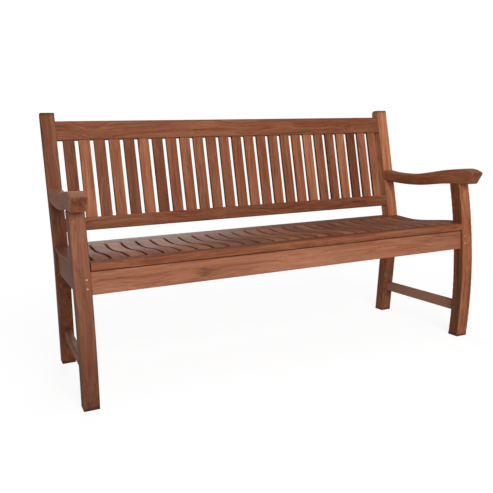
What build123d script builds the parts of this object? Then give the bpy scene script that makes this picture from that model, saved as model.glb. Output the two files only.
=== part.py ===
from build123d import *
import os
from math import atan, cos, radians, sin, sqrt, tan

# A three-seat teak garden bench: a raked, slatted back and a scooped, slatted seat, carried by two
# end frames of bowed front legs, splayed back legs, arms, side rails and stretchers. The frame is
# held by mortise-and-tenon joints that are locked with wooden pegs.
# X runs along the bench, and left is -X, as seen from in front. Y runs from front to back and Z is
# up from the floor. While the pieces are made, Y is counted from the front of the front feet. When
# they are written, all of them move so that the origin is on the floor under the bench's middle.

# Whole bench, in millimetres
overall_width = 1500.0
edge_round = 2.5

# Front legs, sawn to a bow that stands forward at half height
leg_width = 49.0
leg_depth = 49.0
leg_bow = 26.0
leg_height = 603.5

# Back legs, splayed below the knee, raked above it and rounded at the top; a drop under the seat
# or a post's top, and a rise over the seat or a front leg, keep the pieces together
back_foot_y = 485.5
back_leg_depth = 49.5
knee_y = 422.5
knee_drop = 32.5
knee_radius = 400.0
rake_angle = 9.9
post_height = 921.0
post_top_depth = 43.0
post_front_round = 7.0
post_back_round = 15.0

# Back rails and slats; a recess is counted back from the raked front of the posts
back_rail_thickness = 28.0
back_rail_recess = 3.0
top_rail_drop = 96.5
top_rail_height = 68.0
lower_rail_rise = 47.0
lower_rail_height = 46.0
slat_count = 25
back_slat_width = 41.5
back_slat_thickness = 12.0
back_slat_recess = 9.0
back_slat_tenon = 14.0
back_slat_round = 2.0
back_end_gap = 20.5

# Rails under the seat
apron_height = 71.0
apron_thickness = 25.0
apron_recess = 10.0
rear_rail_height = 68.0
rear_rail_thickness = 25.0
rear_rail_recess = 23.0
side_rail_drop = 97.5
side_rail_thickness = 29.0
bearer_drop = 80.5
bearer_thickness = 28.0
stretcher_z = 99.5
stretcher_height = 38.5
stretcher_thickness = 22.0

# Seat: the heights of its scooped top, and the boards and slats that make it
seat_height = 452.5
seat_crest_y = 60.0
seat_crest_rise = 2.5
seat_dip_y = 300.0
seat_dip_drop = 11.0
nosing_proud = 2.0
nosing_depth = 37.0
nosing_thickness = 26.5
nosing_end_gap = 2.0
nosing_round = 4.0
rear_board_depth = 66.0
rear_board_thickness = 22.5
rear_board_lap = 20.0
rear_board_end_gap = 1.0
seat_slat_width = 48.0
seat_slat_thickness = 18.0
seat_slat_round = 3.0
seat_tongue_length = 12.0
seat_tongue_thickness = 8.0
seat_tongue_shoulder = 6.0
end_slat_inset = 4.0
slats_per_group = 5

# Arms: an S-curve that dips behind its middle and ends in a nose in front of the leg
arm_back_rise = 53.5
arm_back_thickness = 41.0
arm_dip_y = 297.0
arm_dip_rise = 35.0
arm_dip_thickness = 44.5
arm_under_dip_y = 236.0
arm_crown_y = -17.0
arm_crown_rise = 57.0
arm_tip_y = -76.0
arm_tip_rise = 40.0
arm_chin_y = -46.0
arm_tip_round = 7.0
arm_chin_round = 4.0
arm_round = 4.5
arm_seat_margin = 6.0

# Mortise-and-tenon joints
tenon_thickness = 12.0
tenon_shoulder = 8.0
tenon_length = 24.0
side_tenon_length = 16.0
arm_tenon_length = 20.0
arm_tenon_height = 24.0
leg_tenon_width = 20.0
leg_tenon_height = 28.0
bearer_tenon_length = 10.0
fit_gap = 0.2
curve_gap = 0.2

# Pegs that lock the tenons, and hidden dowels that hold the seat boards down
peg_diameter = 7.0
peg_setback = 13.0
peg_pitch = 27.0
peg_proud = 0.5
peg_grip = 4.0
dowel_diameter = 8.0
dowel_pairs = 3
dowel_reach = 11.0
pin_gap = 0.1

os.makedirs("parts", exist_ok=True)

half_width = overall_width / 2
inner_half = half_width - leg_width
leg_middle = half_width - leg_width / 2
rake = radians(rake_angle)
knee_z = seat_height - knee_drop
seat_crest_z = seat_height + seat_crest_rise
seat_dip_z = seat_height - seat_dip_drop
side_rail_z = seat_height - side_rail_drop
bearer_z = seat_height - bearer_drop
lower_rail_z = seat_height + lower_rail_rise
top_rail_z = post_height - top_rail_drop
arm_back_z = leg_height + arm_back_rise
arm_back_under_z = arm_back_z - arm_back_thickness
arm_dip_z = leg_height + arm_dip_rise
arm_under_dip_z = arm_dip_z - arm_dip_thickness
arm_crown_z = leg_height + arm_crown_rise
arm_tip_z = leg_height + arm_tip_rise
knee_turn = rake + atan((back_foot_y - knee_y) / knee_z)
knee_front = knee_y + knee_radius * (1 / cos(knee_turn / 2) - 1)
slat_pitch = (2 * (inner_half - back_end_gap) - back_slat_width) / (slat_count - 1)
slat_places = [(n - (slat_count - 1) / 2) * slat_pitch for n in range(slat_count)]
seat_gap = slat_pitch - seat_slat_width
end_slat_inner = slat_places[-1] + seat_slat_width / 2 + seat_gap


def leg_front(z):
    """Y of a front leg's bowed front face at height z."""
    half = leg_height / 2
    radius = (half**2 + leg_bow**2) / (2 * leg_bow)
    return radius - leg_bow - sqrt(radius**2 - (z - half) ** 2)


def post_front(z):
    """Y of a back leg's raked front face at height z, above the knee."""
    return knee_y + (z - knee_z) * tan(rake)


def foot_front(z):
    """Y of a back leg's splayed front face at height z, below the knee."""
    return back_foot_y + (knee_y - back_foot_y) * z / knee_z


apron_top = seat_height - nosing_thickness
apron_z = apron_top - apron_height
apron_front = leg_front(apron_z + apron_height / 2) + apron_recess
apron_back = apron_front + apron_thickness
rear_rail_front = knee_y + rear_rail_recess
rear_rail_top = seat_height - rear_board_thickness
rear_rail_z = rear_rail_top - rear_rail_height
nosing_front = leg_front(seat_height - nosing_thickness / 2) - nosing_proud
nosing_back = nosing_front + nosing_depth
rear_board_back = rear_rail_front + rear_board_lap
rear_board_front = rear_board_back - rear_board_depth


def seat_z(y):
    """Height of the seat's top at depth y; it is level at each of its four stations."""
    stations = [
        (nosing_front, seat_height),
        (seat_crest_y, seat_crest_z),
        (seat_dip_y, seat_dip_z),
        (rear_board_back, seat_height),
    ]
    for (y0, z0), (y1, z1) in zip(stations, stations[1:]):
        if y <= y1:
            share = (y - y0) / (y1 - y0)
            return z0 + (z1 - z0) * share**2 * (3 - 2 * share)
    return seat_height


# Helpers for solids
def around(middle, size):
    """The two ends of a length that is centred on a place."""
    return (middle - size / 2, middle + size / 2)


def block(x, y, z, gap=0.0):
    """A box between two places on each axis, with a gap all round when it is a mortise."""
    middle = Pos(sum(x) / 2, sum(y) / 2, sum(z) / 2)
    return middle * Box(*[high - low + 2 * gap for low, high in (x, y, z)])


def sheet(y, z):
    """A rectangle in the side view."""
    return Pos(sum(y) / 2, sum(z) / 2) * Rectangle(y[1] - y[0], z[1] - z[0])


def thickened(outline, x):
    """A side-view outline made solid between two places along the bench."""
    return extrude(Plane.YZ.offset(x[0]) * outline, amount=x[1] - x[0])


def pin(run, diameter, gap=0.0):
    """A round pin from one point to another, or its hole when a gap is given."""
    start, end = Vector(*run[0]), Vector(*run[1])
    length = (end - start).length + gap
    stub = Cylinder(diameter / 2 + gap, length, align=(Align.CENTER, Align.CENTER, Align.MIN))
    return Plane(origin=start, z_dir=end - start) * stub


def pegs(runs, gap=0.0):
    return [pin(run, peg_diameter, gap) for run in runs]


def mirrored(piece):
    """The left-hand copy of a right-hand piece."""
    return mirror(piece, about=Plane.YZ)


def on_both_sides(pieces):
    return pieces + [mirrored(piece) for piece in pieces]


# Raked frame of the back: X along the bench, then up the posts, then depth behind their front
post_plane = Plane(origin=(0, knee_y, knee_z), x_dir=(1, 0, 0), z_dir=(0, -cos(rake), sin(rake)))


def rise(z):
    """Distance up the raked posts from the knee to height z."""
    return (z - knee_z) / cos(rake)


def raked_block(x, up, depth, gap=0.0):
    """A box in the raked frame, with a gap all round when it is a mortise."""
    middle = Pos(sum(x) / 2, sum(up) / 2, -sum(depth) / 2)
    return post_plane * middle * Box(*[high - low + 2 * gap for low, high in (x, up, depth)])


# Side-view outlines
def front_leg_outline(gap=0.0):
    front, back, half = -gap, leg_depth + gap, leg_height / 2
    return make_face(
        [
            ThreePointArc((front, 0), (front - leg_bow, half), (front, leg_height)),
            Line((front, leg_height), (back, leg_height)),
            ThreePointArc((back, leg_height), (back - leg_bow, half), (back, 0)),
            Line((back, 0), (front, 0)),
        ]
    )


def back_leg_outline(gap=0.0):
    top_front = post_front(post_height) - gap
    top_back = post_front(post_height) + post_top_depth + gap
    corners = [
        (back_foot_y - gap, 0),
        (knee_y - gap, knee_z),
        (top_front, post_height),
        (top_back, post_height),
        (knee_y + back_leg_depth + gap, knee_z),
        (back_foot_y + back_leg_depth + gap, 0),
    ]
    radii = [0, knee_radius, post_front_round, post_back_round, knee_radius - back_leg_depth, 0]
    return make_face(FilletPolyline(*corners, radius=radii, close=True))


def between_legs(outline):
    """The stretch of an outline from the front leg's back to the back leg's front."""
    return outline - front_leg_outline(curve_gap) - back_leg_outline(curve_gap)


def leg_span(z):
    """From inside the front leg to inside the back leg, at about height z."""
    return (leg_front(z) + leg_depth / 2, foot_front(z) + back_leg_depth / 2)


def under_seat(drop):
    """Everything from the floor up to the seat's top, lowered by a drop."""
    steps = 24
    reach = rear_board_back - nosing_front
    depths = [nosing_front + reach * step / steps for step in range(steps + 1)]
    curve = Spline(*[(y, seat_z(y) - drop) for y in depths])
    front, back = (depths[0], 0), (depths[-1], 0)
    return make_face([curve, Line(curve @ 1, back), Line(back, front), Line(front, curve @ 0)])


def seat_part(y, low):
    """The part of the seat's section between two depths, down to a height."""
    return under_seat(0) & sheet(y, (low, seat_crest_z + seat_slat_thickness))


def slat_part(y):
    """The section of a scooped slat between two depths."""
    band = under_seat(0) - under_seat(seat_slat_thickness)
    return band & sheet(y, (apron_z, seat_crest_z + seat_slat_thickness))


def arm_outline():
    back_y = post_front(arm_back_z) + post_top_depth / 2
    crown, tip = (arm_crown_y, arm_crown_z), (arm_tip_y, arm_tip_z)
    chin, seat_end = (arm_chin_y, leg_height), (leg_depth + arm_seat_margin, leg_height)
    top_back, under_back = (back_y, arm_back_z), (back_y, arm_back_under_z)
    climb = 2 * (arm_back_z - arm_dip_z) / (back_y - arm_dip_y)
    top = Spline(
        top_back, (arm_dip_y, arm_dip_z), crown, tangents=[(-1, -climb), (-1, 0), (-1, 0)]
    )
    underside = Spline(
        seat_end,
        (arm_under_dip_y, arm_under_dip_z),
        under_back,
        tangents=[(1, 0), (1, 0), (1, climb)],
    )
    nose = TangentArc(crown, tip, tangent=(-1, 0))
    ends = [Line(tip, chin), Line(chin, seat_end), Line(under_back, top_back)]
    outline = make_face([top, nose, underside] + ends)
    outline = fillet(outline.vertices().sort_by_distance(tip)[0], arm_tip_round)
    outline = fillet(outline.vertices().sort_by_distance(chin)[0], arm_chin_round)
    return outline - back_leg_outline(curve_gap)


# Tenons of the right-hand side, as the two ends of a box on each axis
def rail_tenon(front, thickness, z):
    """A long rail's tenon, which runs into the inner face of a leg."""
    return (
        (inner_half, inner_half + tenon_length),
        around(front + thickness / 2, tenon_thickness),
        (z[0] + tenon_shoulder, z[1] - tenon_shoulder),
    )


def end_tenon(face_y, length, z):
    """An end frame's tenon, which runs into the front or the back face of a leg."""
    return (around(leg_middle, tenon_thickness), around(face_y, 2 * length), z)


side_tenon_z = (side_rail_z + tenon_shoulder, seat_dip_z - seat_slat_thickness - tenon_shoulder)
side_middle_z = sum(side_tenon_z) / 2
side_front_y = leg_front(side_middle_z) + leg_depth
stretcher_tenon_z = (stretcher_z + tenon_shoulder, stretcher_z + stretcher_height - tenon_shoulder)
stretcher_middle_z = stretcher_z + stretcher_height / 2
stretcher_front_y = leg_front(stretcher_middle_z) + leg_depth
stretcher_back_y = foot_front(stretcher_middle_z)
arm_tenon_z = around((arm_back_z + arm_back_under_z) / 2, arm_tenon_height)
arm_back_y = post_front(sum(arm_tenon_z) / 2)

apron_tenon = rail_tenon(apron_front, apron_thickness, (apron_z, apron_top))
rear_rail_tenon = rail_tenon(rear_rail_front, rear_rail_thickness, (rear_rail_z, rear_rail_top))
side_front_tenon = end_tenon(side_front_y, side_tenon_length, side_tenon_z)
side_back_tenon = end_tenon(knee_front, side_tenon_length, side_tenon_z)
stretcher_front_tenon = end_tenon(stretcher_front_y, side_tenon_length, stretcher_tenon_z)
stretcher_back_tenon = end_tenon(stretcher_back_y, side_tenon_length, stretcher_tenon_z)
arm_tenon = end_tenon(arm_back_y, arm_tenon_length, arm_tenon_z)
leg_tenon = (
    around(leg_middle, leg_tenon_width),
    around(leg_depth / 2, leg_tenon_width),
    (leg_height, leg_height + leg_tenon_height),
)
top_rail_up = (rise(top_rail_z), rise(top_rail_z) + top_rail_height)
lower_rail_up = (rise(lower_rail_z), rise(lower_rail_z) + lower_rail_height)
back_tenon_depth = around(back_rail_recess + back_rail_thickness / 2, tenon_thickness)


def back_rail_tenon(up, gap=0.0):
    tenon_up = (up[0] + tenon_shoulder, up[1] - tenon_shoulder)
    return raked_block((inner_half, inner_half + tenon_length), tenon_up, back_tenon_depth, gap)


# Runs of the right-hand pegs, from outside the wood to the blind end of the hole
peg_x = inner_half + peg_setback


def front_runs(tenon):
    """Two pegs through a long rail's tenon, driven from the front."""
    end_y = tenon[1][1] + peg_grip
    return [((peg_x, -leg_depth, z), (peg_x, end_y, z)) for z in around(sum(tenon[2]) / 2, peg_pitch)]


def rear_runs(tenon):
    """Two pegs through a long rail's tenon, driven from behind."""
    start_y, end_y = back_foot_y + 2 * back_leg_depth, tenon[1][0] - peg_grip
    return [((peg_x, start_y, z), (peg_x, end_y, z)) for z in around(sum(tenon[2]) / 2, peg_pitch)]


def raked_runs(ups):
    """Pegs through a back rail's tenon, driven from behind and square to the raked posts."""
    start, end = 2 * back_leg_depth, back_tenon_depth[0] - peg_grip
    places = [(Pos(peg_x, up, -start), Pos(peg_x, up, -end)) for up in ups]
    return [((post_plane * a).position, (post_plane * b).position) for a, b in places]


def outer_runs(y, heights):
    """Pegs through an end frame's tenon, driven from the bench's outer side."""
    start_x, end_x = half_width + leg_width, leg_middle - tenon_thickness / 2 - peg_grip
    return [((start_x, y, z), (end_x, y, z)) for z in heights]


side_heights = around(side_middle_z, peg_pitch)
apron_runs = front_runs(apron_tenon)
rear_rail_runs = rear_runs(rear_rail_tenon)
top_rail_runs = raked_runs(around(sum(top_rail_up) / 2, peg_pitch))
lower_rail_runs = raked_runs([sum(lower_rail_up) / 2])
side_front_runs = outer_runs(side_front_y - side_tenon_length / 2, side_heights)
side_back_runs = outer_runs(knee_front + side_tenon_length / 2, side_heights)
stretcher_front_runs = outer_runs(stretcher_front_y - side_tenon_length / 2, [stretcher_middle_z])
stretcher_back_runs = outer_runs(stretcher_back_y + side_tenon_length / 2, [stretcher_middle_z])
arm_front_runs = outer_runs(leg_depth / 2, [leg_height + leg_tenon_height / 2])
arm_back_runs = outer_runs(arm_back_y + arm_tenon_length / 2, [sum(arm_tenon_z) / 2])
side_runs = side_front_runs + side_back_runs
stretcher_runs = stretcher_front_runs + stretcher_back_runs


# Legs
def eased_sides(piece, radius):
    """A piece with the edges of its two side faces rounded."""
    faces = piece.faces().sort_by(Axis.X)
    return fillet(faces[0].edges() + faces[-1].edges(), radius)


def front_leg():
    leg = eased_sides(thickened(front_leg_outline(), (inner_half, half_width)), edge_round)
    leg += block(*leg_tenon)
    tenons = (apron_tenon, side_front_tenon, stretcher_front_tenon)
    mortises = [block(*tenon, fit_gap) for tenon in tenons]
    runs = apron_runs + side_front_runs + stretcher_front_runs + arm_front_runs
    return leg - mortises - pegs(runs, pin_gap)


def back_leg():
    leg = eased_sides(thickened(back_leg_outline(), (inner_half, half_width)), edge_round)
    tenons = (rear_rail_tenon, side_back_tenon, stretcher_back_tenon, arm_tenon)
    mortises = [block(*tenon, fit_gap) for tenon in tenons]
    mortises += [back_rail_tenon(up, fit_gap) for up in (top_rail_up, lower_rail_up)]
    runs = rear_rail_runs + top_rail_runs + lower_rail_runs
    runs += side_back_runs + stretcher_back_runs + arm_back_runs
    return leg - mortises - pegs(runs, pin_gap)


# End frames
def arm():
    body = thickened(arm_outline(), (inner_half, half_width))
    faces = body.faces().sort_by(Axis.X)
    edges = [edge for face in (faces[0], faces[-1]) for edge in face.edges().sort_by(Axis.Y)[:-1]]
    body = fillet(edges, arm_round) + block(*arm_tenon)
    return body - block(*leg_tenon, fit_gap) - pegs(arm_front_runs + arm_back_runs, pin_gap)


def side_rail():
    top = under_seat(seat_slat_thickness + curve_gap)
    outline = between_legs(top & sheet(leg_span(side_middle_z), (side_rail_z, seat_crest_z)))
    rail = thickened(outline, around(leg_middle, side_rail_thickness))
    rail += [block(*side_front_tenon), block(*side_back_tenon)]
    return rail - pegs(side_runs, pin_gap)


def stretcher():
    heights = (stretcher_z, stretcher_z + stretcher_height)
    outline = between_legs(sheet(leg_span(stretcher_middle_z), heights))
    rail = thickened(outline, around(leg_middle, stretcher_thickness))
    rail = fillet(rail.edges().filter_by(Axis.Y), edge_round)
    rail += [block(*stretcher_front_tenon), block(*stretcher_back_tenon)]
    return rail - pegs(stretcher_runs, pin_gap)


# Long rails
def long_rail(y, z, tenon, runs):
    """A rail between the legs, with a pegged tenon at each end."""
    rail = block((-inner_half, inner_half), y, z)
    rail = fillet(rail.edges().filter_by(Axis.X), edge_round)
    rail += on_both_sides([block(*tenon)])
    return rail - on_both_sides(pegs(runs, pin_gap))


def back_rail(up, slat_up, runs):
    """A raked rail of the back, mortised for the slats over a stretch of its height."""
    depth = (back_rail_recess, back_rail_recess + back_rail_thickness)
    rail = raked_block((-inner_half, inner_half), up, depth)
    rail = fillet(rail.edges().filter_by(Axis.X), edge_round)
    rail += on_both_sides([back_rail_tenon(up)])
    slat_depth = (back_slat_recess, back_slat_recess + back_slat_thickness)
    mortises = [raked_block(around(x, back_slat_width), slat_up, slat_depth, fit_gap) for x in slat_places]
    return rail - mortises - on_both_sides(pegs(runs, pin_gap))


def back_slat(x):
    length = top_rail_up[0] - lower_rail_up[1] + 2 * back_slat_tenon
    slat = Box(back_slat_width, length, back_slat_thickness)
    slat = fillet(slat.edges().filter_by(Axis.Y), back_slat_round)
    middle_up = (top_rail_up[0] + lower_rail_up[1]) / 2
    return post_plane * Pos(x, middle_up, -back_slat_recess - back_slat_thickness / 2) * slat


# Seat
dowel_steps = [(n + 0.5) / dowel_pairs * inner_half for n in range(dowel_pairs)]
dowel_places = dowel_steps + [-x for x in dowel_steps]
nosing_dowel_y = (apron_front + apron_back) / 2
rear_dowel_y = rear_rail_front + rear_board_lap / 2
end_dowel_depths = (seat_crest_y, seat_dip_y)


def upright(x, y, z, gap=0.0):
    """A hidden dowel that stands half in the rail below height z and half in the board above."""
    run = ((x, y, z - dowel_reach - gap), (x, y, z + dowel_reach))
    return pin(run, dowel_diameter, gap)


def nosing_dowels(gap=0.0):
    return [upright(x, nosing_dowel_y, apron_top, gap) for x in dowel_places]


def rear_dowels(gap=0.0):
    return [upright(x, rear_dowel_y, rear_rail_top, gap) for x in dowel_places]


def end_dowels(gap=0.0):
    return [upright(leg_middle, y, seat_z(y) - seat_slat_thickness, gap) for y in end_dowel_depths]


def tongue(x, face_y, gap=0.0):
    """The tongue of a seat slat that runs into a board's face at a depth."""
    width = seat_slat_width - 2 * seat_tongue_shoulder
    middle_z = seat_z(face_y) - seat_slat_thickness / 2
    return block(
        around(x, width),
        around(face_y, 2 * seat_tongue_length),
        around(middle_z, seat_tongue_thickness),
        gap,
    )


def rounded_top(slat):
    """A scooped slat with the two long edges of its top rounded."""
    top = slat.faces().sort_by(Axis.Z)[-1]
    return fillet(top.edges().sort_by(SortBy.LENGTH)[-2:], seat_slat_round)


def seat_slat():
    slat = thickened(slat_part((nosing_back, rear_board_front)), around(0, seat_slat_width))
    return rounded_top(slat) + [tongue(0, nosing_back), tongue(0, rear_board_front)]


def end_slat():
    outline = between_legs(slat_part(leg_span(seat_crest_z)))
    slat = rounded_top(thickened(outline, (end_slat_inner, half_width - end_slat_inset)))
    return slat - end_dowels(pin_gap)


def nosing():
    half = inner_half - nosing_end_gap
    board = thickened(seat_part((nosing_front, nosing_back), apron_top), (-half, half))
    board = fillet(board.edges().filter_by(Axis.X).group_by(Axis.Y)[0], nosing_round)
    mortises = [tongue(x, nosing_back, fit_gap) for x in slat_places]
    return board - mortises - nosing_dowels(pin_gap)


def rear_board():
    half = end_slat_inner - rear_board_end_gap
    board = thickened(seat_part((rear_board_front, rear_board_back), rear_rail_top), (-half, half))
    mortises = [tongue(x, rear_board_front, fit_gap) for x in slat_places]
    return board - mortises - rear_dowels(pin_gap)


bearer_tenon_z = (bearer_z + tenon_shoulder, seat_dip_z - seat_slat_thickness - tenon_shoulder)
bearer_tenons = [
    (around(0, tenon_thickness), around(face_y, 2 * bearer_tenon_length), bearer_tenon_z)
    for face_y in (apron_back, rear_rail_front)
]


def bearer():
    top = under_seat(seat_slat_thickness + curve_gap)
    heights = (bearer_z, min(apron_top, rear_rail_top))
    outline = top & sheet((apron_back, rear_rail_front), heights)
    return thickened(outline, around(0, bearer_thickness)) + [block(*tenon) for tenon in bearer_tenons]


def apron():
    rail = long_rail((apron_front, apron_back), (apron_z, apron_top), apron_tenon, apron_runs)
    return rail - block(*bearer_tenons[0], fit_gap) - nosing_dowels(pin_gap)


def rear_rail():
    depth = (rear_rail_front, rear_rail_front + rear_rail_thickness)
    rail = long_rail(depth, (rear_rail_z, rear_rail_top), rear_rail_tenon, rear_rail_runs)
    return rail - block(*bearer_tenons[1], fit_gap) - rear_dowels(pin_gap)


def trimmed(runs, envelope):
    """Pegs cut off a little proud of the wood that they are driven into, on both sides."""
    return Compound(on_both_sides([(peg & envelope).solid() for peg in pegs(runs)]))


# All the pieces
proud_x = (inner_half - peg_proud, half_width + peg_proud)
front_envelope = thickened(front_leg_outline(peg_proud), proud_x)
back_envelope = thickened(back_leg_outline(peg_proud), proud_x)
arm_envelope = block(proud_x, (0, arm_back_y), (leg_height, arm_crown_z))
both_envelope = front_envelope + back_envelope

right_hand = {
    "front_leg": front_leg(),
    "back_leg": back_leg(),
    "arm": arm(),
    "side_rail": side_rail() - end_dowels(pin_gap),
    "stretcher": stretcher(),
    "seat_end_slat": end_slat(),
}
nodes = {}
for name, piece in right_hand.items():
    nodes["right_" + name] = piece
    nodes["left_" + name] = mirrored(piece)

nodes["front_apron"] = apron()
nodes["rear_seat_rail"] = rear_rail()
nodes["seat_bearer"] = bearer()
nodes["seat_nosing"] = nosing()
nodes["seat_rear_board"] = rear_board()
top_slat_up = (top_rail_up[0], top_rail_up[0] + back_slat_tenon)
lower_slat_up = (lower_rail_up[1] - back_slat_tenon, lower_rail_up[1])
nodes["top_back_rail"] = back_rail(top_rail_up, top_slat_up, top_rail_runs)
nodes["lower_back_rail"] = back_rail(lower_rail_up, lower_slat_up, lower_rail_runs)

for number, x in enumerate(slat_places, start=1):
    nodes[f"back_slat_{number:02d}"] = back_slat(x)

one_slat = seat_slat()
for first in range(0, slat_count, slats_per_group):
    group = [Pos(x, 0, 0) * one_slat for x in slat_places[first : first + slats_per_group]]
    nodes[f"seat_slats_{first + 1:02d}_{first + len(group):02d}"] = Compound(group)

nodes["apron_pegs"] = trimmed(apron_runs, front_envelope)
nodes["rear_rail_pegs"] = trimmed(rear_rail_runs, back_envelope)
nodes["top_rail_pegs"] = trimmed(top_rail_runs, back_envelope)
nodes["lower_rail_pegs"] = trimmed(lower_rail_runs, back_envelope)
nodes["side_rail_pegs"] = trimmed(side_runs, both_envelope)
nodes["stretcher_pegs"] = trimmed(stretcher_runs, both_envelope)
nodes["arm_pegs"] = trimmed(arm_front_runs + arm_back_runs, arm_envelope + back_envelope)
nodes["seat_dowels"] = Compound(nosing_dowels() + rear_dowels() + on_both_sides(end_dowels()))

middle_y = (nodes["right_arm"].bounding_box().min.Y + nodes["right_back_leg"].bounding_box().max.Y) / 2
for name, piece in nodes.items():
    export_step(Pos(0, -middle_y, 0) * piece, f"parts/{name}.step")
print(len(nodes), "nodes, slat pitch", round(slat_pitch, 2), "middle at", round(middle_y, 2))
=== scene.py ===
# %% [markdown]
# A slatted teak garden bench. The measured frame comes from the CAD model: it is the same size, in
# the same place, and Blender only gives it its looks. Two rows of slats and the wooden pegs are
# grown again here with Geometry Nodes, so that each one can have a board of its own.

# %% Load the measured frame
import random
from math import cos, radians, sin

import bmesh
import bpy
from mathutils import Matrix, Vector


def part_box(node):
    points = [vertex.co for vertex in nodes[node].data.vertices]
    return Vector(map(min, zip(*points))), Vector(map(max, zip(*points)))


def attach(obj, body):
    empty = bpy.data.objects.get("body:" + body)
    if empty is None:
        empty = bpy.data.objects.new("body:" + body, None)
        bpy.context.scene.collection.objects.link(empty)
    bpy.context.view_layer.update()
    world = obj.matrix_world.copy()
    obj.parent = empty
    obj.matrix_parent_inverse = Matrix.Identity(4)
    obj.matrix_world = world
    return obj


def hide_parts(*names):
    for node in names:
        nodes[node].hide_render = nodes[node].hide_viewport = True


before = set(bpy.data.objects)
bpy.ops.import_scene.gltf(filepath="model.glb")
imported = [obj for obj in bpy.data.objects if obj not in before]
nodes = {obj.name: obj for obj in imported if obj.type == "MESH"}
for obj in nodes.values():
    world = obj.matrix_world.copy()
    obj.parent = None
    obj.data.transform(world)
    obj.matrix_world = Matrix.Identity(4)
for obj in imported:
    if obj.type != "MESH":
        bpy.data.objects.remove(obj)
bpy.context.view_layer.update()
scene = bpy.context.scene

# %% [markdown]
# Shader and geometry trees are easier to read as sums than as lists of links. One small class
# wraps a socket, and its operators add the Math nodes. Any other node comes from one method, which
# sets the node's own settings first, because they decide which sockets it has.


# %% A socket that can be used in sums
class Wire:
    def __init__(self, graph, socket):
        self.graph, self.socket = graph, socket

    def other(self, name):
        """Another output of the same node."""
        return Wire(self.graph, pick(self.socket.node.outputs, name))

    def math(self, operation, a, b):
        return self.graph.node("ShaderNodeMath", {"operation": operation}, {0: a, 1: b})

    def __add__(self, value):
        return self.math("ADD", self, value)

    def __radd__(self, value):
        return self.math("ADD", value, self)

    def __sub__(self, value):
        return self.math("SUBTRACT", self, value)

    def __rsub__(self, value):
        return self.math("SUBTRACT", value, self)

    def __mul__(self, value):
        return self.math("MULTIPLY", self, value)

    def __rmul__(self, value):
        return self.math("MULTIPLY", value, self)

    def __truediv__(self, value):
        return self.math("DIVIDE", self, value)

    def __pow__(self, value):
        return self.math("POWER", self, value)


def pick(sockets, name):
    """A socket by its number or name, among those that the node's settings leave in use."""
    if isinstance(name, int):
        return [s for s in sockets if s.enabled][name]
    return next(s for s in sockets if s.name == name and s.enabled)


# %% A tree that nodes are added to
class Graph:
    def __init__(self, tree):
        self.tree = tree

    def node(self, kind, settings=None, sockets=None, out=0):
        """A new node with its settings and inputs; what it returns is one of its outputs."""
        made = self.tree.nodes.new(kind)
        for name, value in (settings or {}).items():
            if name == "stops":
                ramp = made.color_ramp.elements
                while len(ramp) < len(value):
                    ramp.new(1.0)
                for element, (position, colour) in zip(ramp, value):
                    element.position, element.color = position, (*colour, 1.0)
            else:
                setattr(made, name, value)
        for name, value in (sockets or {}).items():
            target = pick(made.inputs, name)
            if isinstance(value, Wire):
                self.tree.links.new(value.socket, target)
            else:
                target.default_value = value
        return Wire(self, pick(made.outputs, out)) if len(made.outputs) else None


# %% [markdown]
# Wood has its pattern all through it, so the pattern is worked out in space: from where a place is
# and which way its surface faces. A few small sums on places and directions do all of it. Each of
# them could be written out where it is needed, but as named functions they read like sentences.
# The directions are those in which the boards of the bench run.

# %% Sums on places and directions
rake = radians(9.9)
along_bench = (1.0, 0.0, 0.0)
along_depth = (0.0, 1.0, 0.0)
upright = (0.0, 0.0, 1.0)
up_post = (0.0, sin(rake), cos(rake))


def vector_math(operation, a, b, out="Vector"):
    """A result of two vectors, such as their sum."""
    return a.graph.node("ShaderNodeVectorMath", {"operation": operation}, {0: a, 1: b}, out)


def length_of(vector):
    return vector.graph.node("ShaderNodeVectorMath", {"operation": "LENGTH"}, {0: vector}, "Value")


def part_of(vector, axis):
    """One of the three numbers in a vector."""
    return vector.graph.node("ShaderNodeSeparateXYZ", None, {0: vector}, axis)


def absolute(value):
    return value.graph.node("ShaderNodeMath", {"operation": "ABSOLUTE"}, {0: value})


def between(value, low, high, first=0.0, last=1.0):
    """A first number below a value, a last one above another and a smooth step between them."""
    sockets = {"Value": value, "From Min": low, "From Max": high, "To Min": first, "To Max": last}
    return value.graph.node("ShaderNodeMapRange", {"interpolation_type": "SMOOTHSTEP"}, sockets)


def facing(normal, way):
    """1 where the surface faces along a direction, either way, and 0 where it runs along it."""
    return absolute(vector_math("DOT_PRODUCT", normal, way, "Value"))


def mixed(share, colour, other):
    """A colour with a share of another one in it."""
    sockets = {"Factor": share, "A": colour, "B": (*other, 1)}
    return colour.graph.node("ShaderNodeMix", {"data_type": "RGBA"}, sockets)


# %% [markdown]
# Teak is sawn from a log: it has growth rings round a pith that lies outside the board, long
# fibres, fine pores and slow bands of colour that run with the grain, which drifts from side to
# side. An image would smear at the edges and the ends. Here each part of the figure is noise that
# is drawn out along the grain, and only its length, width and strength differ. The rings are the
# distance from the pith, cut into steps with a dark line of late wood at the end of each, so end
# grain shows them by itself. A knot pushes the rings aside.

# %% The figure of teak
# Each part of the figure: its length along the grain and its width in metres, and its detail
figures = {
    "drift": (0.22, 0.12, 1.0),
    "wander": (0.7, 0.11, 2.0),
    "bands": (0.6, 0.014, 4.0),
    "lines": (0.35, 0.006, 3.0),
    "streaks": (0.4, 0.0045, 3.0),
    "fibres": (0.06, 0.0014, 2.0),
    "pores": (0.014, 0.0008, 1.0),
    "patches": (0.13, 0.035, 2.0),
}
drift_reach = 0.045
streak_edges, pore_edges = (0.54, 0.74), (0.6, 0.72)
ring_width, ring_wander, late_edge = 0.0052, 0.05, 0.12
rings_along_grain = (0.03, 1, 1)
knot_edges, knot_push = (0.004, 0.022), 0.02
knot_stretch = (0.55, 1, 1)
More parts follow.
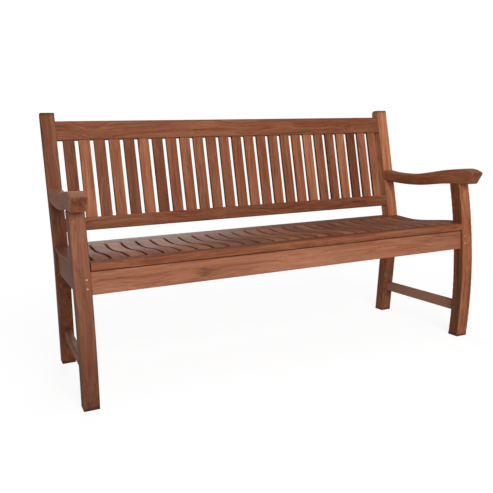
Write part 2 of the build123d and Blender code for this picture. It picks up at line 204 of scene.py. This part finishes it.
# How far each part moves the colour from dark, at 0, to pale, at 1
middle_depth = 0.58
swings = {"bands": 0.65, "lines": 1.0, "wander": 0.7, "fibres": 0.5}
late_shade, late_shade_at_ends = 0.17, 0.4
pore_shade, streak_shade, knot_shade = 0.16, 0.22, 0.25


def figure(board, kind):
    """Noise that is drawn out along the grain, which is the first axis of the board's places."""
    length, across, detail = figures[kind]
    squeezed = vector_math("MULTIPLY", board, (1 / length, 1 / across, 1 / across))
    sockets = {"Vector": squeezed, "Scale": 1.0, "Detail": detail}
    return board.graph.node("ShaderNodeTexNoise", None, sockets)


def sawn_wood(place, board, end, knot):
    """The parts of a board's figure, with its late wood and with depth, which says how pale the
    wood is. End is 1 on end grain, and a knot is a place."""
    g = board.graph
    drift = (figure(board, "drift") - 0.5) * drift_reach
    sideways = g.node("ShaderNodeCombineXYZ", None, {"Y": drift, "Z": drift})
    board = vector_math("ADD", board, sideways)
    wood = {kind: figure(board, kind) for kind in figures if kind != "drift"}
    wood["streaks"] = between(wood["streaks"], *streak_edges)
    wood["pores"] = between(wood["pores"], *pore_edges)
    radius = length_of(vector_math("MULTIPLY", board, rings_along_grain))
    radius = radius + (wood["wander"] - 0.5) * ring_wander
    swirl = 0.0
    if knot:
        from_knot = vector_math("MULTIPLY", vector_math("SUBTRACT", place, knot), knot_stretch)
        swirl = 1 - between(length_of(from_knot), *knot_edges)
        radius = radius + swirl * knot_push
    ring = g.node("ShaderNodeMath", {"operation": "FRACT"}, {0: radius / ring_width})
    wood["late"] = ring**3 * between(1 - ring, 0.0, late_edge)
    depth = middle_depth
    for kind, swing in swings.items():
        depth = depth + (wood[kind] - 0.5) * swing
    depth = depth - wood["late"] * (late_shade + late_shade_at_ends * end)
    depth = depth - wood["pores"] * pore_shade - wood["streaks"] * streak_shade
    wood["depth"] = depth - swirl * knot_shade
    return wood


# %% [markdown]
# A bench that stands outdoors is marked by use, and end grain drinks dirt. Other marks are painted
# shade: the sides of slats and of a leg that face along the bench are darker, a painted shadow line
# runs along the seam under the nosing, and legs are darker towards the floor, under the seat. Feet
# and post tops are darker at the floor and just under the top. It could be painted on by hand, but
# all of it follows from how high a place is and which way it faces, so the shader works it out as
# the share of light that is left.

# %% End grain dirt, painted shade and darker ends
end_shade = 0.45
side_shade_edges = (0.3, 0.85)
seam_edges, seam_light = (0.001, 0.0035), 0.3
low_shade_edges = (0.06, 0.6)
dark_from_floor, dark_from_top, dark_ends_light = (0.002, 0.016), (0.014, 0.002), 0.5


def dirt_and_shade_left(place, normal, end, marks):
    """The share of light that end grain dirt, painted shade and darker ends leave."""
    above_floor = part_of(place, "Z")
    clean_and_lit = 1 - end * end_shade
    # Painted shade on the sides that face along the bench, as in the gaps between slats
    if marks.get("gap_dirt"):
        side = between(facing(normal, along_bench), *side_shade_edges)
        clean_and_lit = clean_and_lit * (1 - side * marks["gap_dirt"])
    # A painted shadow line along the seam under the seat nosing
    if marks.get("seam"):
        off_seam = between(absolute(above_floor - marks["seam"]), *seam_edges)
        clean_and_lit = clean_and_lit * (seam_light + (1 - seam_light) * off_seam)
    # Painted shade that darkens a leg towards the floor, where the seat shades it
    if marks.get("low_shade"):
        clean_and_lit = clean_and_lit * (1 - marks["low_shade"] * (1 - between(above_floor, *low_shade_edges)))
    # Darker at the floor and just under the board's top
    if marks.get("damp_ends"):
        top_start, top_end = [marks["damp_ends"] - down for down in dark_from_top]
        not_darkened = between(above_floor, *dark_from_floor) - between(above_floor, top_start, top_end)
        clean_and_lit = clean_and_lit * (dark_ends_light + (1 - dark_ends_light) * not_darkened)
    return clean_and_lit


# %% [markdown]
# One function makes the material of any board: it turns the places so that the first axis runs
# along the grain, shifts them to another place in the log, colours the figure, greys the top and
# lays the dirt and the painted shade over it. A material for each board by hand would be the same
# twenty times over.

# %% A board of teak
teak_dark = (0.10, 0.026, 0.010)
teak_mid = (0.30, 0.103, 0.048)
teak_light = (0.46, 0.198, 0.102)
teak_stops = [(0.0, teak_dark), (0.5, teak_mid), (1.0, teak_light)]
weathered = (0.20, 0.104, 0.070)
silver = (0.30, 0.155, 0.110)
sapwood = (0.86, 0.60, 0.44)
end_edges, top_edges = (0.4, 0.92), (0.45, 0.95)
dark_is_redder, patch_swing = 1.15, 0.45
grey_share, grey_swing = 0.55, 0.9
old_share, old_swing = 0.7, 0.6
# How rough the wood is, and how far its fibres stand up and its late wood and pores lie down
middle_rough, fibre_rough, pore_rough, end_rough = 0.5, 0.2, 0.12, 0.15
fibre_rise, late_drop, pore_drop = 0.5, 0.5, 0.9
relief, relief_strength = 0.0005, 0.35
sheen = 0.07


def teak(name, grain, tone=1.0, shift=(0.0, 0.0, 0.0), grey=0.25, **marks):
    """A board of teak with its grain along a direction. Of the marks, varied reads the board's
    place in the log and its tone from the mesh, knot is a place where the grain swirls, gap_dirt
    is painted shade on the sides that face along the bench, seam is the height of a joint with a
    painted shadow line along it, low_shade is painted shade that darkens a leg towards the floor,
    damp_ends is the top of a board that is darker there and at the floor, silvered is the share of
    old grey wood, and pale that of sapwood."""
    material = bpy.data.materials.new(name)
    material.use_nodes = True
    material.node_tree.nodes.clear()
    g = Graph(material.node_tree)
    place = g.node("ShaderNodeTexCoord", out="Object")
    normal = place.other("Normal")
    if marks.get("varied"):
        own = g.node("ShaderNodeAttribute", {"attribute_name": "shift"}, out="Vector")
        place = vector_math("ADD", place, own)
        tone = g.node("ShaderNodeAttribute", {"attribute_name": "tone"}, out="Fac") * tone
    turn = Vector(grain).rotation_difference(Vector((1, 0, 0))).to_euler()
    sockets = {"Vector": place, "Rotation": turn, "Location": shift}
    board = g.node("ShaderNodeMapping", None, sockets)
    end = between(facing(normal, grain), *end_edges)
    wood = sawn_wood(place, board, end, marks.get("knot"))

    colour = g.node("ShaderNodeValToRGB", {"stops": teak_stops}, {"Fac": wood["depth"]})
    browner = tone**dark_is_redder * (1 + (wood["patches"] - 0.5) * patch_swing)
    tint = g.node("ShaderNodeCombineXYZ", None, {"X": tone, "Y": browner, "Z": browner})
    colour = vector_math("MULTIPLY", colour, tint)
    worn = grey_share + grey_swing * (wood["bands"] - 0.5)
    worn = between(part_of(normal, "Z"), *top_edges) * worn * grey
    colour = mixed(worn, colour, weathered)
    for mark, other in (("silvered", silver), ("pale", sapwood)):
        if marks.get(mark):
            share = (old_share + old_swing * wood["bands"]) * (1 - end) * marks[mark]
            colour = mixed(share, colour, other)
    sockets = {0: colour, "Scale": dirt_and_shade_left(place, normal, end, marks)}
    colour = g.node("ShaderNodeVectorMath", {"operation": "SCALE"}, sockets)

    roughness = middle_rough + (wood["fibres"] - 0.5) * fibre_rough
    roughness = roughness + wood["pores"] * pore_rough + end * end_rough
    height = wood["fibres"] * fibre_rise - wood["late"] * late_drop - wood["pores"] * pore_drop
    sockets = {"Strength": relief_strength, "Distance": relief, "Height": height}
    bump = g.node("ShaderNodeBump", None, sockets)
    sockets = {"Base Color": colour, "Roughness": roughness, "Normal": bump}
    sockets["Specular IOR Level"] = sheen
    shader = g.node("ShaderNodeBsdfPrincipled", None, sockets)
    g.node("ShaderNodeOutputMaterial", None, {"Surface": shader})
    return material


# %% [markdown]
# Each leg, rail and arm is one board with its grain along its length. The CAD solids already have
# the right shape and the right rounded edges, so they stay, and each gets its own cut from the log
# and its own tone. Boards of one bench differ: the apron is a pale one with a knot, the right
# stretcher has turned silver, and the lower back rail is a dark one.

# %% Boards for the frame
apron_low, apron_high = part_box("front_apron")
arm_low, arm_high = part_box("left_arm")
apron_knot_x, apron_knot_rise, arm_knot_drop = -0.352, 0.4, 0.034
apron_knot_z = apron_low.z * (1 - apron_knot_rise) + apron_high.z * apron_knot_rise
apron_knot = (apron_knot_x, apron_low.y, apron_knot_z)
arm_knot = ((arm_low.x + arm_high.x) / 2, arm_low.y, arm_high.z - arm_knot_drop)
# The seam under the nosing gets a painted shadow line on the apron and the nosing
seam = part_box("seat_nosing")[0].z
# The direction of the grain, the tone, how grey the top is, and other marks
boards = {
    # Of the marks, the legs' darkening towards the floor and the right front leg's darker sides are
    # painted shade, and the seam line is a painted shadow
    "left_front_leg": (upright, 0.65, 0.1, {"low_shade": 0.38, "silvered": 0.15}),
    # This leg's high tone and its darker sides paint a lit front and shaded sides
    "right_front_leg": (upright, 1.12, 0.1, {"low_shade": 0.25, "gap_dirt": 0.42}),
    # This leg's low tone is partly its own and partly painted shade
    "left_back_leg": (up_post, 0.58, 0.1, {"low_shade": 0.1}),
    "right_back_leg": (up_post, 1.35, 0.1, {"low_shade": 0.48}),
    "left_arm": (along_depth, 1.2, 0.3, {"knot": arm_knot, "silvered": 0.45}),
    "right_arm": (along_depth, 0.98, 0.3, {}),
    "left_side_rail": (along_depth, 0.75, 0.1, {"silvered": 0.3}),
    "right_side_rail": (along_depth, 0.8, 0.1, {}),
    "left_stretcher": (along_depth, 0.8, 0.1, {}),
    "right_stretcher": (along_depth, 1.35, 0.1, {"silvered": 0.85}),
    "left_seat_end_slat": (along_depth, 0.75, 0.4, {}),
    "right_seat_end_slat": (along_depth, 0.8, 0.4, {}),
    "front_apron": (along_bench, 0.96, 0.1, {"knot": apron_knot, "seam": seam, "silvered": 0.2}),
    "rear_seat_rail": (along_bench, 0.8, 0.1, {}),
    "seat_bearer": (along_depth, 0.8, 0.1, {}),
    "seat_nosing": (along_bench, 0.74, 0.2, {"seam": seam}),
    "seat_rear_board": (along_bench, 0.8, 0.3, {}),
    "top_back_rail": (along_bench, 0.7, 0.2, {}),
    "lower_back_rail": (along_bench, 0.71, 0.2, {}),
}
dice = random.Random(13)
along_log, beside_pith, above_pith = (-2, 2), (0.05, 0.16), (0.03, 0.12)
for name, (grain, tone, grey, marks) in boards.items():
    shift = [dice.uniform(*span) for span in (along_log, beside_pith, above_pith)]
    if name.endswith("_leg"):
        marks["damp_ends"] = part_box(name)[1].z
    board = teak("teak_" + name, grain, tone, shift, grey, **marks)
    nodes[name].data.materials.clear()
    nodes[name].data.materials.append(board)
print("boards finished:", len(boards))

# %% [markdown]
# A row of slats repeats by a rule, so Geometry Nodes grow it: a rounded section is swept along a
# line, the result is set at even places, and each copy keeps two values of its own, its tone and
# its place in the log. The export knows no instances, so the tree ends in real geometry, and the
# result is kept as a plain mesh.

# %% Starting and finishing a tree
flat_face_weight = 80


def start_tree(name, inputs):
    """A new geometry tree with named inputs, and the wires that carry them."""
    tree = bpy.data.node_groups.new(name, "GeometryNodeTree")
    kinds = {int: "NodeSocketInt", float: "NodeSocketFloat"}
    tree.interface.new_socket("Start", in_out="INPUT", socket_type="NodeSocketGeometry")
    for label, value in inputs.items():
        tree.interface.new_socket(label, in_out="INPUT", socket_type=kinds[type(value)])
    tree.interface.new_socket("Geometry", in_out="OUTPUT", socket_type="NodeSocketGeometry")
    graph = Graph(tree)
    given = graph.node("NodeGroupInput")
    return graph, {label: given.other(label) for label in [*inputs, "Start"]}


def finish_tree(graph, shape, inputs, material, start=None):
    """Ends the tree, runs it with its inputs and keeps what it makes as a plain mesh."""
    real = graph.node("GeometryNodeRealizeInstances", None, {"Geometry": shape})
    done = graph.node("GeometryNodeSetMaterial", None, {"Geometry": real, "Material": material})
    graph.node("NodeGroupOutput", None, {"Geometry": done})
    name = graph.tree.name
    piece = bpy.data.objects.new(name, start or bpy.data.meshes.new(name + "_start"))
    scene.collection.objects.link(piece)
    grow = piece.modifiers.new("grow", "NODES")
    grow.node_group = graph.tree
    for item in graph.tree.interface.items_tree:
        if item.in_out == "INPUT" and item.name in inputs:
            grow[item.identifier] = inputs[item.name]
    even = piece.modifiers.new("even_shading", "WEIGHTED_NORMAL")
    even.weight = flat_face_weight
    depsgraph = bpy.context.evaluated_depsgraph_get()
    mesh = bpy.data.meshes.new_from_object(
        piece.evaluated_get(depsgraph), preserve_all_data_layers=True, depsgraph=depsgraph
    )
    piece.modifiers.clear()
    piece.data = mesh
    print(name, "faces:", len(mesh.polygons), "attributes:", [a.name for a in mesh.attributes])
    return piece


# %% Growing a row of bars
corner_points = 4
log_low, log_high = (-3.0, -0.3, -0.3), (3.0, 0.3, 0.3)


def rounded_bar(g, width, thickness, rounding, start, end, rings):
    """A bar with a rounded section, swept along a line."""
    sockets = {"Width": width, "Height": thickness}
    section = g.node("GeometryNodeCurvePrimitiveQuadrilateral", None, sockets)
    sockets = {"Curve": section, "Radius": rounding, "Count": corner_points, "Limit Radius": True}
    section = g.node("GeometryNodeFilletCurve", {"mode": "POLY"}, sockets)
    line = g.node("GeometryNodeCurvePrimitiveLine", None, {"Start": start, "End": end})
    line = g.node("GeometryNodeResampleCurve", None, {"Curve": line, "Count": rings})
    sockets = {"Curve": line, "Profile Curve": section, "Fill Caps": True}
    bar = g.node("GeometryNodeCurveToMesh", None, sockets)
    return g.node("GeometryNodeSetShadeSmooth", None, {"Geometry": bar, "Shade Smooth": True})


def row_of(g, bar, count, pitch):
    """Copies of a bar at even places along the bench."""
    first = (count - 1) * pitch * -0.5
    at = g.node("ShaderNodeCombineXYZ", None, {"X": first})
    step = g.node("ShaderNodeCombineXYZ", None, {"X": pitch})
    sockets = {"Count": count, "Start Location": at, "Offset": step}
    places = g.node("GeometryNodeMeshLine", None, sockets)
    return g.node("GeometryNodeInstanceOnPoints", None, {"Points": places, "Instance": bar})


def own_wood(g, row, seed, low_tone, high_tone):
    """Gives each copy in a row its own tone and its own place in the log."""
    sockets = {"Min": low_tone, "Max": high_tone, "Seed": seed}
    tone = g.node("FunctionNodeRandomValue", None, sockets)
    kind = {"data_type": "FLOAT", "domain": "INSTANCE"}
    sockets = {"Geometry": row, "Name": "tone", "Value": tone}
    row = g.node("GeometryNodeStoreNamedAttribute", kind, sockets)
    sockets = {"Min": log_low, "Max": log_high, "Seed": seed + 1}
    shift = g.node("FunctionNodeRandomValue", {"data_type": "FLOAT_VECTOR"}, sockets)
    kind = {"data_type": "FLOAT_VECTOR", "domain": "INSTANCE"}
    sockets = {"Geometry": row, "Name": "shift", "Value": shift}
    return g.node("GeometryNodeStoreNamedAttribute", kind, sockets)


# %% [markdown]
# The back slats are flat uprights that stand in mortises in the two back rails. The solids could
# stay, but then all 25 would need a material each. Here one slat is swept upright, set in a row
# and leaned back with the others, and its tone goes with it: in the photograph they differ widely.

# %% Back slats
slat_count = 25
low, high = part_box("back_slat_01")
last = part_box(f"back_slat_{slat_count:02d}")
slat_pitch = (last[0].x - low.x) / (slat_count - 1)
back_slat_width = high.x - low.x
back_slat_thickness = 0.012
back_slat_length = (high.z - low.z - back_slat_thickness * sin(rake)) / cos(rake)
back_slat_rings = 2
back_slat_tones = (0.5, 1.07)
middle = (low + high) / 2
inputs = {
    "Count": slat_count,
    "Pitch": slat_pitch,
    "Width": back_slat_width,
    "Thickness": back_slat_thickness,
    "Length": back_slat_length,
    "Rounding": 0.002,
    "Lean": -rake,
    "Seed": 995,
}
g, size = start_tree("back_slats", inputs)
foot = g.node("ShaderNodeCombineXYZ", None, {"Z": size["Length"] * -0.5})
head = g.node("ShaderNodeCombineXYZ", None, {"Z": size["Length"] * 0.5})
bar = rounded_bar(g, size["Width"], size["Thickness"], size["Rounding"], foot, head, back_slat_rings)
row = row_of(g, bar, size["Count"], size["Pitch"])
row = own_wood(g, row, size["Seed"], *back_slat_tones)
lean = g.node("ShaderNodeCombineXYZ", None, {"X": size["Lean"]})
sockets = {"Geometry": row, "Translation": (0.0, middle.y, middle.z), "Rotation": lean}
row = g.node("GeometryNodeTransform", None, sockets)
# The slats' sides in the gaps get painted shade
back_teak = teak("teak_back_slats", up_post, grey=0.1, varied=True, gap_dirt=0.6)
back_slats = finish_tree(g, row, inputs, back_teak)
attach(back_slats, "root")
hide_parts(*[f"back_slat_{n:02d}" for n in range(1, slat_count + 1)])
made_low = [round(v, 4) for v in back_slats.bound_box[0]]
print("back slats from:", made_low, "CAD:", [round(v, 4) for v in low])

# %% [markdown]
# The seat slats run from front to back between the nosing and the rear board, and they are scooped
# by one rule: a low crest behind the front edge, a dip for the sitter and a rise to the back. Each
# stretch of that rule is a smooth step, which Map Range gives, so a straight slat is swept and its
# points are then lifted by their depth.

# %% Seat slats
slat_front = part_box("seat_nosing")[1].y
slat_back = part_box("seat_rear_board")[0].y
seat_front, seat_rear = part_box("seat_nosing")[0].y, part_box("seat_rear_board")[1].y
leg_depth, crest_from_foot, dip_from_foot = 0.049, 0.060, 0.300
foot_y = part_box("right_front_leg")[1].y - leg_depth
crest_y, dip_y = foot_y + crest_from_foot, foot_y + dip_from_foot
seat_slat_rings = 41
seat_slat_tones = (0.85, 1.45)
inputs = {
    "Count": slat_count,
    "Pitch": slat_pitch,
    "Width": 0.048,
    "Thickness": 0.018,
    "Rounding": 0.003,
    "Seat height": 0.4525,
    "Crest": 0.0025,
    "Dip": 0.0135,
    "Rise": 0.011,
    "Seed": 8,
}
g, size = start_tree("seat_slats", inputs)
ends = (0.0, slat_front, 0.0), (0.0, slat_back, 0.0)
bar = rounded_bar(g, size["Width"], size["Thickness"], size["Rounding"], *ends, seat_slat_rings)
depth = part_of(g.node("GeometryNodeInputPosition"), "Y")
scoop = between(depth, seat_front, crest_y, last=size["Crest"])
scoop = scoop - between(depth, crest_y, dip_y, last=size["Dip"])
scoop = scoop + between(depth, dip_y, seat_rear, last=size["Rise"])
middle_height = size["Seat height"] - size["Thickness"] * 0.5
lift = g.node("ShaderNodeCombineXYZ", None, {"Z": middle_height + scoop})
bar = g.node("GeometryNodeSetPosition", None, {"Geometry": bar, "Offset": lift})
row = row_of(g, bar, size["Count"], size["Pitch"])
row = own_wood(g, row, size["Seed"], *seat_slat_tones)
# The slats' sides in the gaps get painted shade
seat_teak = teak("teak_seat_slats", along_depth, grey=0.5, varied=True, gap_dirt=0.55)
seat_slats = finish_tree(g, row, inputs, seat_teak)
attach(seat_slats, "root")
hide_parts(*sorted(n for n in nodes if n.startswith("seat_slats_")))
corners = (seat_slats.bound_box[0], seat_slats.bound_box[6])
print("seat slats box:", [round(v, 4) for corner in corners for v in corner])

# %% [markdown]
# Wooden pegs lock the tenons. They are driven through the joint and sawn off almost flush, so only
# a small pale round shows. Their places could be typed in again, but each peg's place and
# direction is in its CAD solid: the solids of a node are told apart by following their edges.

# %% Peg places, from the CAD solids
peg_nodes = sorted(n for n in nodes if n.endswith("_pegs"))
raked_pegs = ("top_rail_pegs", "lower_rail_pegs")
peg_places = []
for name in peg_nodes:
    mesh = bmesh.new()
    mesh.from_mesh(nodes[name].data)
    bmesh.ops.remove_doubles(mesh, verts=mesh.verts, dist=1e-6)
    unseen = set(mesh.verts)
    while unseen:
        peg_verts, edge = set(), {next(iter(unseen))}
        while edge:
            vert = edge.pop()
            peg_verts.add(vert)
            edge |= {e.other_vert(vert) for e in vert.link_edges} - peg_verts
        unseen -= peg_verts
        points = sorted((v.co.copy() for v in peg_verts), key=lambda p: tuple(p))
        spread = [max(p[i] for p in points) - min(p[i] for p in points) for i in range(3)]
        axis = Vector([1.0 if s == max(spread) else 0.0 for s in spread])
        if name in raked_pegs:
            axis = Vector((0.0, cos(rake), -sin(rake)))
        centre = sum(points, Vector()) / len(points)
        axis = axis if axis.dot(centre) > 0 else -axis
        reach = [p.dot(axis) for p in points]
        head = centre + axis * (max(reach) - centre.dot(axis))
        peg_places.append((head, axis, max(reach) - min(reach)))
    mesh.free()
peg_places.sort(key=lambda place: tuple(round(v, 5) for v in place[0]))
print("pegs:", len(peg_places))

# %% [markdown]
# One peg with a softened head is then set on all the places, turned to its direction. Its rings
# crowd towards the head, where the shape is. The dowels under the seat boards are hidden, so they
# keep their solids and only get their wood.

# %% Pegs and dowels
start = bpy.data.meshes.new("peg_places")
start.from_pydata([place[0] for place in peg_places], [], [])
way = start.attributes.new("way", "FLOAT_VECTOR", "POINT")
way.data.foreach_set("vector", [v for place in peg_places for v in place[1]])
peg_rings, peg_sides = 7, 20
ring_crowding, head_crowding = 3, 6
peg_tones = (0.9, 1.2)
inputs = {
    "Radius": 0.0035,
    "Length": min(place[2] for place in peg_places),
    "Softening": 0.0004,
    "Seed": 3,
}
g, size = start_tree("frame_pegs", inputs)
sockets = {"Start": (0.0, 0.0, -1.0), "End": (0.0, 0.0, 0.0)}
line = g.node("GeometryNodeCurvePrimitiveLine", None, sockets)
line = g.node("GeometryNodeResampleCurve", None, {"Curve": line, "Count": peg_rings})
share = g.node("GeometryNodeSplineParameter", out="Factor")
inward = (1 - share) ** ring_crowding * size["Length"] * -1.0
inward = g.node("ShaderNodeCombineXYZ", None, {"Z": inward})
line = g.node("GeometryNodeSetPosition", None, {"Geometry": line, "Position": inward})
thick = size["Radius"] - size["Softening"] * share**head_crowding
sockets = {"Resolution": peg_sides, "Radius": 1.0}
circle = g.node("GeometryNodeCurvePrimitiveCircle", None, sockets)
sockets = {"Curve": line, "Profile Curve": circle, "Scale": thick, "Fill Caps": True}
peg = g.node("GeometryNodeCurveToMesh", None, sockets)
peg = g.node("GeometryNodeSetShadeSmooth", None, {"Geometry": peg, "Shade Smooth": True})
kind = {"data_type": "FLOAT_VECTOR"}
peg_way = g.node("GeometryNodeInputNamedAttribute", kind, {"Name": "way"})
turned = g.node("FunctionNodeAlignRotationToVector", {"axis": "Z"}, {"Vector": peg_way})
sockets = {"Points": size["Start"], "Instance": peg, "Rotation": turned}
row = g.node("GeometryNodeInstanceOnPoints", None, sockets)
row = own_wood(g, row, size["Seed"], *peg_tones)
peg_teak = teak("teak_pegs", upright, grey=0.1, varied=True, pale=0.34)
pegs = finish_tree(g, row, inputs, peg_teak, start)
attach(pegs, "root")
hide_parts(*peg_nodes)
nodes["seat_dowels"].data.materials.clear()
nodes["seat_dowels"].data.materials.append(teak("teak_dowels", upright, grey=0.1, pale=0.3))

# %% [markdown]
# The bench stands on a studio floor that is nearly white. A floor lit to full white would lose its
# shadow, and one left to the lamps alone would be grey. So what the camera sees of it is mostly
# plain white, with a part of true shading left in it round the bench, where the soft shadow is.

# %% Floor
floor_reach, floor_grey = 30.0, 0.82
shadow_share, lit_floor = 0.3, 0.52
shadow_edges = (0.9, 2.6)
floor_mesh = bpy.data.meshes.new("floor")
corners = [(x * floor_reach, y * floor_reach, 0.0) for x, y in ((-1, -1), (1, -1), (1, 1), (-1, 1))]
floor_mesh.from_pydata(corners, [], [(0, 1, 2, 3)])
floor = bpy.data.objects.new("floor", floor_mesh)
scene.collection.objects.link(floor)
floor_paint = bpy.data.materials.new("floor_paint")
floor_paint.use_nodes = True
floor_paint.node_tree.nodes.clear()
g = Graph(floor_paint.node_tree)
seen = g.node("ShaderNodeLightPath", out="Is Camera Ray")
from_middle = length_of(g.node("ShaderNodeTexCoord", out="Object"))
lit = between(from_middle, *shadow_edges, first=shadow_share, last=0.0)
whiteness = (1 - lit * lit_floor) / (1 - lit)
matt = g.node("ShaderNodeBsdfDiffuse", None, {"Color": (floor_grey, floor_grey, floor_grey, 1)})
white = g.node("ShaderNodeEmission", None, {"Color": (1, 1, 1, 1), "Strength": whiteness})
surface = g.node("ShaderNodeMixShader", None, {0: seen * (1 - lit), 1: matt, 2: white})
g.node("ShaderNodeOutputMaterial", None, {"Surface": surface})
floor_mesh.materials.append(floor_paint)
print("floor:", [round(side, 1) for side in floor.dimensions])

# %% [markdown]
# The photograph's light is frontal and soft: faces to the front are the brightest, the seat is
# about half as bright, and faces to the side have little more than the light of the room. One
# large lamp stands in front, near the camera, and a weaker one behind keeps the back readable from
# other sides. The room itself is plain white to the camera, and much weaker as a light.


# %% Room and lamps
def lamp(name, place, size, power):
    light = bpy.data.lights.new(name, "AREA")
    light.shape, light.size, light.energy = "DISK", size, power
    made = bpy.data.objects.new(name, light)
    made.location = place
    aim = lamp_target - Vector(place)
    made.rotation_euler = aim.to_track_quat("-Z", "Y").to_euler()
    scene.collection.objects.link(made)
    print(name, "aims along", [round(v, 2) for v in aim])


lamp_target = Vector((0.0, 0.0, 0.5))
lamp("front_lamp", (-0.6, -4.2, 1.9), 2.4, 156.0)
lamp("back_lamp", (0.6, 5.0, 2.2), 3.0, 75.0)

ambient = 0.33
world = bpy.data.worlds.new("studio")
scene.world = world
world.use_nodes = True
world.node_tree.nodes.clear()
g = Graph(world.node_tree)
strength = g.node("ShaderNodeLightPath", out="Is Camera Ray") * (1 - ambient) + ambient
air = g.node("ShaderNodeBackground", None, {"Color": (1, 1, 1, 1), "Strength": strength})
g.node("ShaderNodeOutputWorld", None, {"Surface": air})

# %% [markdown]
# The camera stands where the photograph was taken from. Its place, direction and lens were found
# by fitting the bench's corners and outline to the picture, with the image taken as 493 by 493
# pixels. The picture is turned a little, so the camera is rolled by the same angle.

# %% Camera
image_size, focal_pixels = 493, 597.16
sensor_width = 36.0
yaw, pitch, roll = radians(23.9), radians(8.512), radians(2.261)
camera_place = Vector((-0.9755, foot_y - 1.7597, 0.7372))
camera = bpy.data.objects.new("photo_camera", bpy.data.cameras.new("photo_camera"))
camera.data.sensor_width = sensor_width
camera.data.lens = sensor_width * focal_pixels / image_size
forward = Vector((sin(yaw) * cos(pitch), cos(yaw) * cos(pitch), -sin(pitch)))
level = Vector((cos(yaw), -sin(yaw), 0.0))
down = forward.cross(level)
right = level * cos(roll) + down * sin(roll)
up = level * sin(roll) - down * cos(roll)
turn = Matrix((right, up, -forward)).transposed().to_4x4()
camera.matrix_world = Matrix.Translation(camera_place) @ turn
scene.collection.objects.link(camera)
scene.camera = camera
scene.view_settings.view_transform = "Standard"
print("lens:", round(camera.data.lens, 2), "mm")
